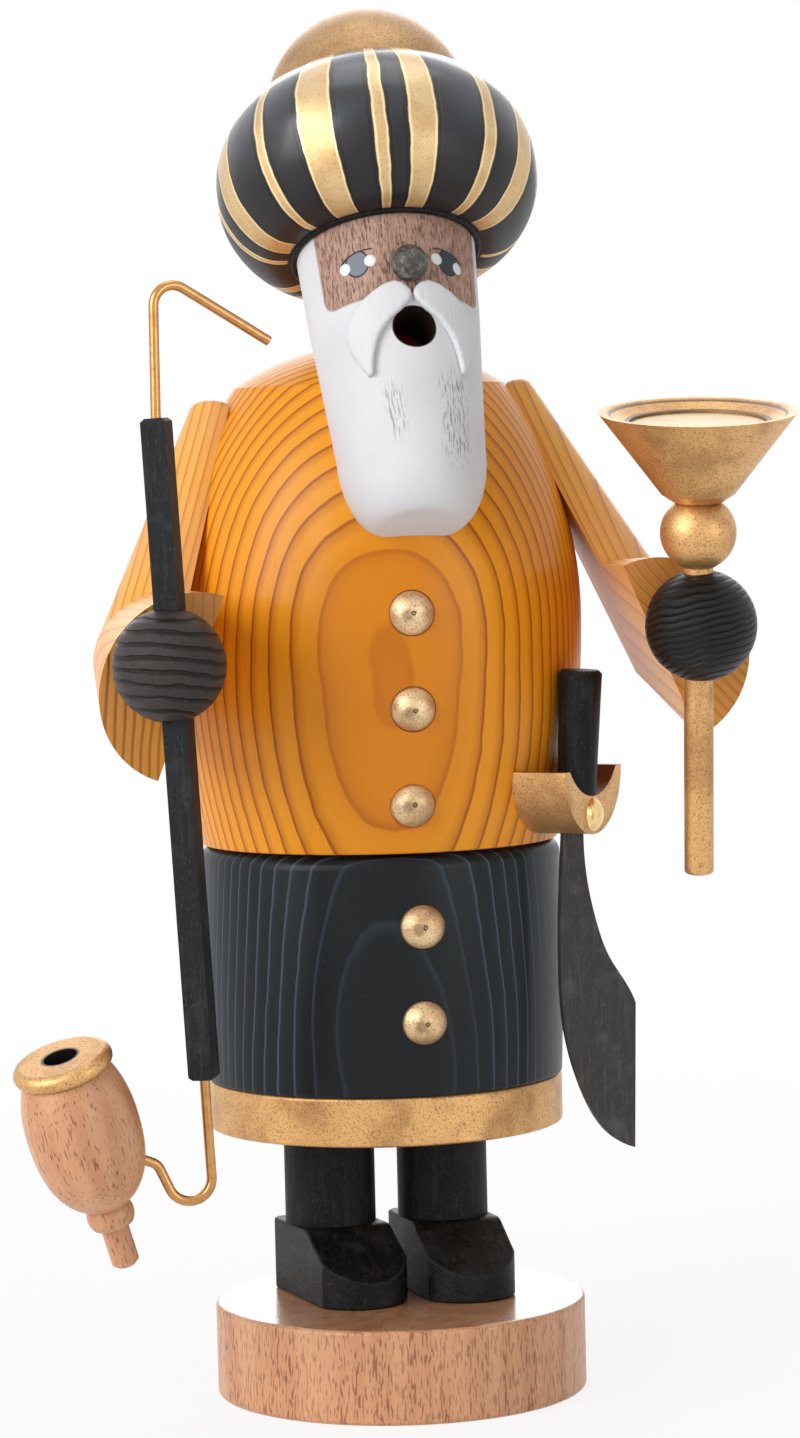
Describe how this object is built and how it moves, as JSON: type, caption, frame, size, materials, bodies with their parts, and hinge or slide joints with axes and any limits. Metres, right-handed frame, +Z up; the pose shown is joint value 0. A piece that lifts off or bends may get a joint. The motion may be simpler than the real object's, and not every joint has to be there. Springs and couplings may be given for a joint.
{
  "type": "incense smoker figure",
  "caption": "Turned wooden incense smoker: bearded turbaned figure on a disc with pipe, goblet and sabre; its hollow upper half lifts off a spigot over an incense burner.",
  "frame": {"origin": "centre of the base disc's underside", "axes": "+Z up, the figure faces -Y, its left hand is on +X"},
  "size_m": [0.1145, 0.0944, 0.2082],
  "materials": {
    "beech": "clear satin lacquer",
    "orange_wood": "orange stain under satin lacquer",
    "blue_black_wood": "blue-black stain under satin lacquer",
    "black_wood": "black stain, matt",
    "grey_brown_wood": "dark stain, open grain",
    "turban_stripes": "black stain with hand-painted gold stripes, satin",
    "head_paint": "white beard paint and brown-stained face",
    "white_paint": "matt white paint",
    "nose_stain": "grey-brown stain",
    "gold_paint": "gold paint with fine brown speckle",
    "brass": "polished",
    "tinplate": "dull tinplate",
    "dowel_wood": "bare beech"
  },
  "bodies": {
    "lower": {"base_disc": "beech", "right_shoe": "black_wood", "left_shoe": "black_wood", "right_leg": "black_wood", "left_leg": "black_wood", "foot_dowels": "dowel_wood", "hem_disc": "gold_paint", "lower_body": "blue_black_wood", "skirt_buttons": "gold_paint", "burner_tack": "brass"},
    "burner": {"burner_plate": "tinplate"},
    "top": {"pipe_bowl": "beech", "upper_body": "orange_wood", "right_upper_arm": "orange_wood", "left_upper_arm": "orange_wood", "right_forearm": "orange_wood", "left_forearm": "orange_wood", "pipe_stem": "black_wood", "sabre_hilt": "black_wood", "left_hand": "black_wood", "right_hand": "grey_brown_wood", "sabre_blade": "grey_brown_wood", "turban": "turban_stripes", "head": "head_paint", "moustache_right": "white_paint", "moustache_left": "white_paint", "nose": "nose_stain", "turban_knob": "gold_paint", "goblet_cup": "gold_paint", "goblet_bead": "gold_paint", "goblet_rod": "gold_paint", "pipe_bowl_rim": "gold_paint", "sabre_guard": "gold_paint", "coat_buttons": "gold_paint", "pipe_mouthpiece": "brass", "pipe_elbow": "brass", "sabre_nail": "brass", "shoulder_dowels": "dowel_wood", "wrist_dowels": "dowel_wood", "head_dowel": "dowel_wood", "turban_dowel": "dowel_wood", "knob_dowel": "dowel_wood"}
  },
  "joints": [
    {"name": "top_turn", "type": "hinge", "parent": "lower", "child": "burner", "pos_m": [0, 0.007, 0.092], "axis": [0, 0, 1], "continuous": true},
    {"name": "top_lift", "type": "slide", "parent": "burner", "child": "top", "axis": [0, 0, 1], "range_m": [0, 0.045]}
  ]
}
